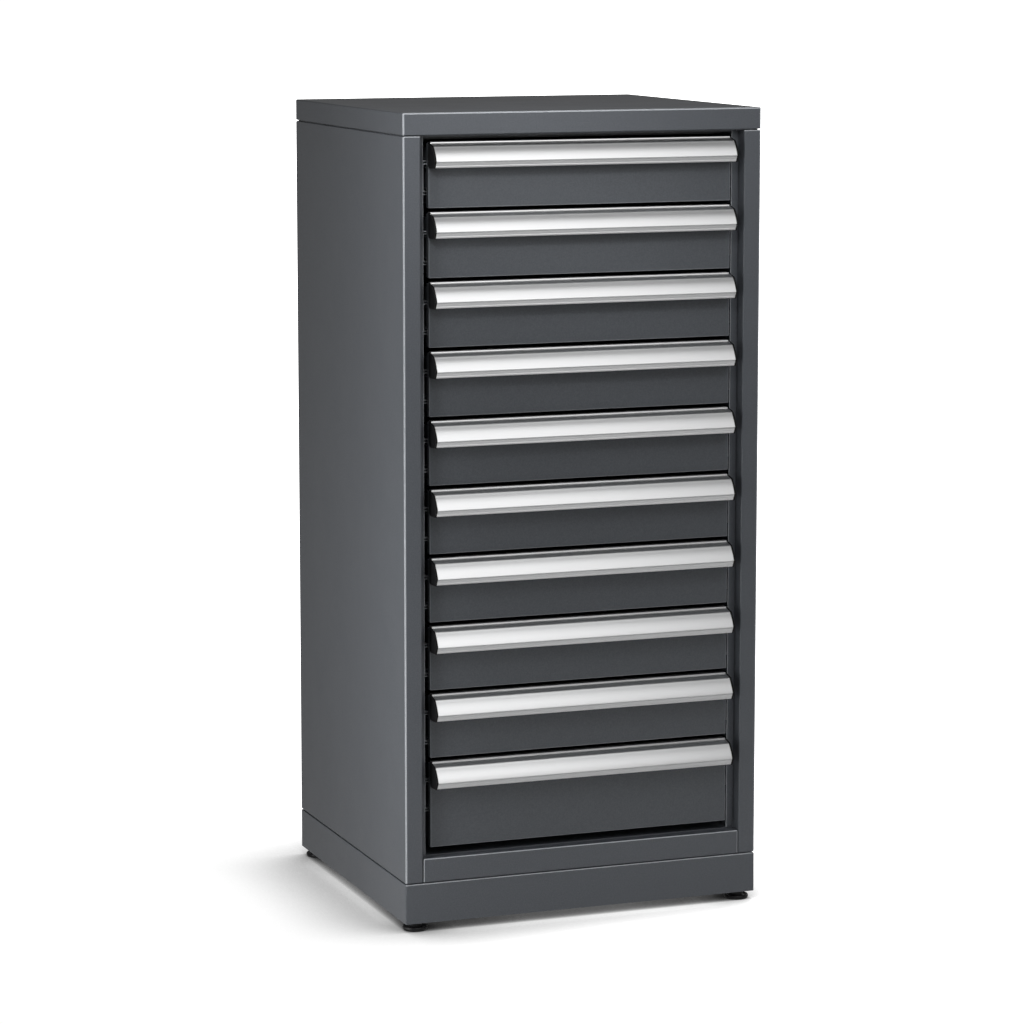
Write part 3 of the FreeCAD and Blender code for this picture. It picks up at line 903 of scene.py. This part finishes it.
NOSE = (
    [LIP_FRONT, WEB_FRONT]
    + bowed(WEB_FRONT, SHOULDER, 0.65, 5)
    + [SHOULDER]
    + bowed(SHOULDER, BLADE_END, 0.9, 7)
    + [BLADE_END, (27.0, 23.9)]
)
FLANGE_AND_LIP = [(-8.0, 0.0), (1.9, 0.0), (2.2, 0.3), (2.3, 1.0)]
UPPER_GROOVE = [on_toe(0.07, 0.1), on_toe(0.1, 0.8), on_toe(0.17, 0.8), on_toe(0.2, 0)]
LOWER_GROOVE = [on_toe(0.56, 0), on_toe(0.6, 0.4), on_toe(0.68, 0.4), on_toe(0.72, 0)]
TOE_END = [on_toe(0.92, 0), on_toe(1.0, 0.6), (20.6, 32.5), (20.1, 31.9)]
WEB_BACK = [(12.2, 6.2), (1.8, 4.4), (1.8, 14.0), (0.0, 14.0), (0.0, 1.6), (-8.0, 1.6)]
PULL_SECTION = (
    FLANGE_AND_LIP
    + NOSE
    + [(26.9, 24.3)]
    + UPPER_GROOVE
    + LOWER_GROOVE
    + TOE_END
    + [BLADE_BACK[0]]
    + bowed(*BLADE_BACK, -0.7, 4)
    + [BLADE_BACK[1]]
    + WEB_BACK
)
print("pull section", len(PULL_SECTION), "points")


def extrusion(name, section, x0, x1, front, lip):
    """A closed section, filled and pulled from x0 to x1."""
    piece = draw_line(name, [(x0, front - reach * MM, lip - drop * MM) for reach, drop in section])
    only(piece)
    bpy.ops.object.mode_set(mode="EDIT")
    bpy.ops.mesh.select_all(action="SELECT")
    bpy.ops.mesh.edge_face_add()
    bpy.ops.mesh.extrude_region_move(TRANSFORM_OT_translate={"value": (x1 - x0, 0, 0)})
    bpy.ops.mesh.select_all(action="SELECT")
    bpy.ops.mesh.normals_make_consistent(inside=False)
    leave()
    return piece


# %% [markdown]
# The end caps follow the same outline down to the toe and close the space behind the blade. Their rim is
# rounded, so they look moulded.

# %% End cap section
HEEL = [(22.0, 33.2), (5.0, 33.8), (2.6, 33.1), (0.8, 31.2), (0.0, 28.6)]
CAP_SECTION = [(0.0, 0.2), (2.0, 0.2)] + NOSE + HEEL
print("end cap section", len(CAP_SECTION), "points")

# %% [markdown]
# The first drawer is put together from a tray, a pull and two caps, and eight more are copies of it, each
# moved down by its place in the stack. Only the deep tray at the bottom is made anew. The pull is cut
# square, so its ends are broken by a millimetre.


# %% Make the first drawer and its copies
def dress_drawer(number, tray, pull_piece, caps):
    """Hands the three pieces of one drawer over."""
    name = f"drawer_{number:02d}"
    hand_over(tray, drawer_paint, name, "drawer_paint", name + "_tray")
    hand_over(pull_piece, pull_aluminium, name, "handle_aluminium", name + "_handle")
    hand_over(caps, cap_plastic, name, "end_cap_plastic", name + "_handle_end_caps")


first_low, first_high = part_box("drawer_01_handle")
caps_low, caps_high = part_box("drawer_01_handle_end_caps")
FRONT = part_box("drawer_01_tray")[0].y
SLIDE_DROP = 46.5 * MM
PULL_END_BREAK = 1.0 * MM
CAP_ROUND = 0.6 * MM
LIP = first_high.z
tray_1 = make_tray("drawer_01_folded_tray", "drawer_01_tray", LIP - SLIDE_DROP)
pull_1 = extrusion("drawer_01_pull", PULL_SECTION, first_low.x, first_high.x, FRONT, LIP)
bevel_edges(pull_1, lambda edge: not runs_along(edge, 0) and middle(edge).y < FRONT, PULL_END_BREAK, 2)
shade(pull_1, 25)
cap_left = extrusion("cap_left", CAP_SECTION, caps_low.x, first_low.x, FRONT, LIP)
cap_right = extrusion("cap_right", CAP_SECTION, first_high.x, caps_high.x, FRONT, LIP)
caps_1 = join([cap_left, cap_right], "drawer_01_pull_caps")
break_edges(caps_1, CAP_ROUND, 3)
shade(caps_1, 40)
for number in range(2, 11):
    name = f"drawer_{number:02d}"
    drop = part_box(name + "_handle")[1].z - LIP
    if number < 10:
        tray = copy_of(tray_1, name + "_folded_tray", (0, 0, drop))
    else:
        tray = make_tray(name + "_folded_tray", name + "_tray", LIP + drop - SLIDE_DROP)
    pull_piece = copy_of(pull_1, name + "_pull", (0, 0, drop))
    caps = copy_of(caps_1, name + "_pull_caps", (0, 0, drop))
    dress_drawer(number, tray, pull_piece, caps)
dress_drawer(1, tray_1, pull_1, caps_1)

# %% [markdown]
# ## Levelling feet
#
# A foot is a moulded pad with a rolled rim, a neck that meets the plinth and a threaded stem. A cylinder
# is inset and extruded step by step, as on a lathe, and its edges are rounded.


# %% Feet
SOLE = 1.2 * MM


def make_foot(name, node):
    """Foot under its node's box, raised ring by ring; each step is how far inwards and how far up."""
    low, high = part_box(node)
    centre = (low + high) / 2
    radius = (high.x - low.x) / 2
    bpy.ops.object.select_all(action="DESELECT")
    bpy.ops.mesh.primitive_cylinder_add(
        vertices=64, radius=radius - SOLE, depth=SOLE, location=(centre.x, centre.y, SOLE / 2)
    )
    foot = fix_place(bpy.context.object)
    foot.name = name
    steps = [
        (-1.2 * MM, 0.9 * MM),
        (0, 1.8 * MM),
        (0.9 * MM, 1.3 * MM),
        (1.6 * MM, 0.0),
        (3.0 * MM, -0.9 * MM),
        (1.8 * MM, 1.4 * MM),
        (0.2 * MM, 5.4 * MM),
        (0.8 * MM, 0.6 * MM),
        (5.0 * MM, 0.0),
        (0.0, high.z - 11.7 * MM),
    ]
    select(foot, "FACE", lambda face: face.normal.z > 0.9)
    for inset, rise in steps:
        bpy.ops.mesh.extrude_region_move(TRANSFORM_OT_translate={"value": (0, 0, rise)})
        ring = [v.co - centre for v in bmesh.from_edit_mesh(foot.data).verts if v.select]
        now = max(math.hypot(spoke.x, spoke.y) for spoke in ring)
        factor = (now - inset) / now
        bpy.ops.transform.resize(value=(factor, factor, 1), center_override=centre)
    leave()
    shade(foot, 35)
    return foot


for corner in ("front_left", "front_right", "rear_left", "rear_right"):
    node = corner + "_levelling_foot"
    hand_over(make_foot(node + "_moulded", node), foot_nylon, corner + "_foot", "foot_plastic", node)

# %% [markdown]
# ## Slides
#
# Ball slides are nested channels whose corners are rolled into races. The fixed rails and the moving
# carriages keep the frame's sizes; here their corners are rounded, so that they look rolled when a drawer
# is open. One rail and one carriage are made and copied to all the others.


# %% Slides
CHANNEL_FOLD = 2.4 * MM
RAIL_HALF = 22 * MM
RAIL_DEPTH = 9.8 * MM
CARRIAGE_DEPTH = 7.2 * MM


def make_channel(name, low, high):
    """Channel open towards the middle, at the left of the chest."""
    outline = [
        (high.x, low.y, high.z),
        (low.x, low.y, high.z),
        (low.x, low.y, low.z),
        (high.x, low.y, low.z),
    ]
    travel = (0, high.y - low.y, 0)
    return folded_channel(name, outline, travel, ((-1, 0, 0), (low.x, 0, 0)), SHEET, CHANNEL_FOLD)


rails_low, rails_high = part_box("slide_rails")
rail = make_channel(
    "rail_left",
    Vector((rails_low.x, rails_low.y, rails_high.z - 2 * RAIL_HALF)),
    Vector((rails_low.x + RAIL_DEPTH, rails_high.y, rails_high.z)),
)
rail_pair = join([rail, mirror_of(rail, "rail_right")], "rail_pair")
lips = [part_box(f"drawer_{number:02d}_handle")[1].z for number in range(1, 11)]
rail_pairs = [rail_pair] + [copy_of(rail_pair, "rail_pair", (0, 0, lip - LIP)) for lip in lips[1:]]
rails = join(rail_pairs, "slide_rails_rolled")
shade(rails)
hand_over(rails, zinc, "housing", "slide_zinc", "slide_rails")

carriage_low, carriage_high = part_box("drawer_01_slide_carriages")
carriage = make_channel(
    "carriage_left",
    carriage_low,
    Vector((carriage_low.x + CARRIAGE_DEPTH, carriage_high.y, carriage_high.z)),
)
carriages = join([carriage, mirror_of(carriage, "carriage_right")], "drawer_01_carriages_rolled")
shade(carriages)
for number, lip in enumerate(lips[1:], start=2):
    name = f"drawer_{number:02d}"
    copy = copy_of(carriages, name + "_carriages_rolled", (0, 0, lip - LIP))
    hand_over(copy, zinc, name + "_carriages", "slide_zinc", name + "_slide_carriages")
hand_over(carriages, zinc, "drawer_01_carriages", "slide_zinc", "drawer_01_slide_carriages")

# %% [markdown]
# ## Pieces that keep their engineering shape
#
# The back and bottom panels, the upper rail, the foot sockets and the bolts are flat or hidden, so their
# shape is already right and they only get their finish.

# %% Finish the remaining nodes
for node, material in (
    ("back_panel", housing_paint),
    ("bottom_panel", housing_paint),
    ("upper_front_rail", housing_paint),
    ("foot_sockets", zinc),
    ("housing_bolts", zinc),
):
    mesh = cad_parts[node].data
    mesh.materials.clear()
    mesh.materials.append(material)
    print(f"{node}: {material.name}")

# %% [markdown]
# ## Floor
#
# The chest stands on a floor as white as its background, so only the soft shadow says where the floor is.
# To the eye the floor is a glowing card that darkens near whatever stands on it: ambient occlusion
# measures how much of the nearby space is taken, and its square makes the shadow gather under the plinth.
# Towards the right the card is brighter, as if the light came from there, so the shadow lies mostly on
# the left. Rays that bounce off the chest meet a plain dim floor instead, which keeps the underside of
# the pulls calm.

# %% Floor
FLOOR_BOUNCE = 0.35
FLOOR_GLOW = 0.2
SHADOW_REACH = 0.16
SHADOW_LEFT, SHADOW_RIGHT = -0.4, 0.35
GLOW_LEFT, GLOW_RIGHT = 1.02, 2.4
bpy.ops.object.select_all(action="DESELECT")
bpy.ops.mesh.primitive_plane_add(size=160, location=(0, 0, 0))
floor = bpy.context.object
floor.name = "studio_floor"
# Seamless white paper with a soft contact shadow
floor_material, tree = new_material("white_studio_floor")
seen = add_node(tree, "ShaderNodeLightPath").outputs["Is Camera Ray"]
place = add_node(tree, "ShaderNodeTexCoord").outputs["Object"]
across = add_node(tree, "ShaderNodeSeparateXYZ", links={"Vector": place}).outputs["X"]
open_sky = add_node(tree, "ShaderNodeAmbientOcclusion", {"Distance": SHADOW_REACH}, samples=16).outputs["AO"]
deep = add_node(tree, "ShaderNodeMath", {1: 2}, {0: open_sky}, operation="POWER").outputs[0]
side_glow = ramp(tree, across, SHADOW_LEFT, SHADOW_RIGHT, GLOW_LEFT, GLOW_RIGHT)
bright = add_node(tree, "ShaderNodeMath", links={0: deep, 1: side_glow}, operation="MULTIPLY").outputs[0]
lit = add_node(tree, "ShaderNodeMix", {"A": FLOOR_GLOW}, {"Factor": seen, "B": bright}).outputs["Result"]
white = add_node(tree, "ShaderNodeEmission", {"Color": (1, 1, 1, 1)}, {"Strength": lit})
felt = add_node(tree, "ShaderNodeBsdfDiffuse", links={"Color": ramp(tree, seen, 0, 1, FLOOR_BOUNCE, 0)})
both = add_node(tree, "ShaderNodeAddShader", links={0: white.outputs[0], 1: felt.outputs[0]})
finish_material(tree, both)
floor.data.materials.append(floor_material)
print("shadow reaches", SHADOW_REACH, "m from the chest")

# %% [markdown]
# ## Room
#
# The room behind the chest is white to the eye and dim to everything else, so dark paint stays dark.

# %% World
ROOM_GLOW = 0.17
world = bpy.data.worlds.new("studio")
bpy.context.scene.world = world
world.use_nodes = True
tree = world.node_tree
tree.nodes.clear()
path = add_node(tree, "ShaderNodeLightPath")
glow = ramp(tree, path.outputs["Is Camera Ray"], 0, 1, ROOM_GLOW, 1.0)
room = add_node(tree, "ShaderNodeBackground", {"Color": (1, 1, 1, 1)}, {"Strength": glow})
add_node(tree, "ShaderNodeOutputWorld", links={"Surface": room.outputs[0]})
print("room glow", ROOM_GLOW)

# %% [markdown]
# ## Lights
#
# Polished and satin surfaces show the lamps themselves, so a few large softboxes do the drawing: one high
# in front puts the bright band on the blades, strips at both sides trace the folds, and a low box lifts
# the foot of the side panel. Other lamps only fill. They are left out of reflections, so that they
# brighten paint without adding streaks to the metal. A soft spot from the left warms up the front of the
# cap and the top of its post.
#
# A softbox is given by its radiance, not its power, so it can grow or shrink without looking brighter.


# %% Lights
def place_lamp(name, lamp, place, target):
    """Hangs a lamp and turns it towards its target; the lamp itself stays unseen."""
    light = bpy.data.objects.new(name, lamp)
    bpy.context.scene.collection.objects.link(light)
    light.visible_camera = False
    light.location = place
    light.rotation_euler = (Vector(target) - Vector(place)).to_track_quat("-Z", "Y").to_euler()
    return light


def add_softbox(name, place, target, width, height, radiance, mirrored=True):
    """Area light with a given radiance; one that isn't mirrored stays out of gloss and metal."""
    lamp = bpy.data.lights.new(name, "AREA")
    lamp.shape = "RECTANGLE"
    lamp.size, lamp.size_y = width, height
    lamp.energy = radiance * math.pi * width * height
    light = place_lamp(name, lamp, place, target)
    light.visible_glossy = mirrored
    print(name, "radiance", radiance)


def add_spot(name, place, target, power, cone, radius):
    """Soft-edged spot; the cone is in degrees."""
    lamp = bpy.data.lights.new(name, "SPOT")
    lamp.energy = power
    lamp.spot_size = math.radians(cone)
    lamp.spot_blend = 1.0
    lamp.shadow_soft_size = radius
    place_lamp(name, lamp, place, target)
    print(name, "power", power)


MID_FRONT = (0, -0.23, 0.6)
LEFT_POST = (-0.25, -0.24, 0.6)
LEFT_STRIP = (-0.55, -0.32, 0.6)
add_softbox("high_softbox", (0.2, -1.8, 2.05), MID_FRONT, 1.8, 1.8, 1.42)
add_softbox("front_softbox", (0.2, -2.6, 1.2), MID_FRONT, 1.8, 1.2, 0.4)
add_softbox("left_strip", LEFT_STRIP, LEFT_POST, 0.08, 1.5, 5.0)
add_softbox("low_left_box", (-0.9, -0.2, 0.25), (-0.25, 0, 0.3), 0.6, 0.4, 3.4)
add_softbox("right_strip", (1.6, 0.5, 0.6), (0, -0.2, 0.6), 0.12, 1.7, 6.0)
add_softbox("front_fill", (0.3, -1.1, 1.35), (0, -0.23, 1.0), 1.2, 0.3, 3.5, mirrored=False)
add_softbox("right_fill", (0.9, -1.9, 0.4), (0, -0.23, 0.4), 1.4, 0.8, 1.2, mirrored=False)
add_softbox("low_fill", (0.15, -0.75, 0.08), (0, -0.23, 0.1), 0.8, 0.1, 3.6, mirrored=False)
add_softbox("high_fill", (0.2, -1.3, 2.4), MID_FRONT, 1.8, 1.0, 1.2, mirrored=False)
add_softbox("left_fill", LEFT_STRIP, LEFT_POST, 0.08, 1.5, 8.5, mirrored=False)
add_spot("cap_spot", (-0.7, -1.3, 1.65), (-0.06, -0.22, 1.04), 72, 24, 0.15)

# %% [markdown]
# ## Camera
#
# A long lens from the front left, slightly above the cap, keeps the uprights nearly parallel. The view
# transform is the plain one, so that white stays white.

# %% Camera
CAMERA_TURN = -20.68
CAMERA_DIP = 8.04
camera_data = bpy.data.cameras.new("camera")
camera_data.sensor_width = 36
camera_data.lens = 127.98
camera_data.shift_y = -0.05
camera_data.clip_end = 300
camera = bpy.data.objects.new("camera", camera_data)
bpy.context.scene.collection.objects.link(camera)
camera.location = (-1.7595, -4.6132, 1.2825)
camera.rotation_euler = (math.radians(90 - CAMERA_DIP), 0, math.radians(CAMERA_TURN))
bpy.context.scene.camera = camera
bpy.context.scene.view_settings.view_transform = "Standard"
print("camera turned", CAMERA_TURN, "and dipped", CAMERA_DIP, "degrees")
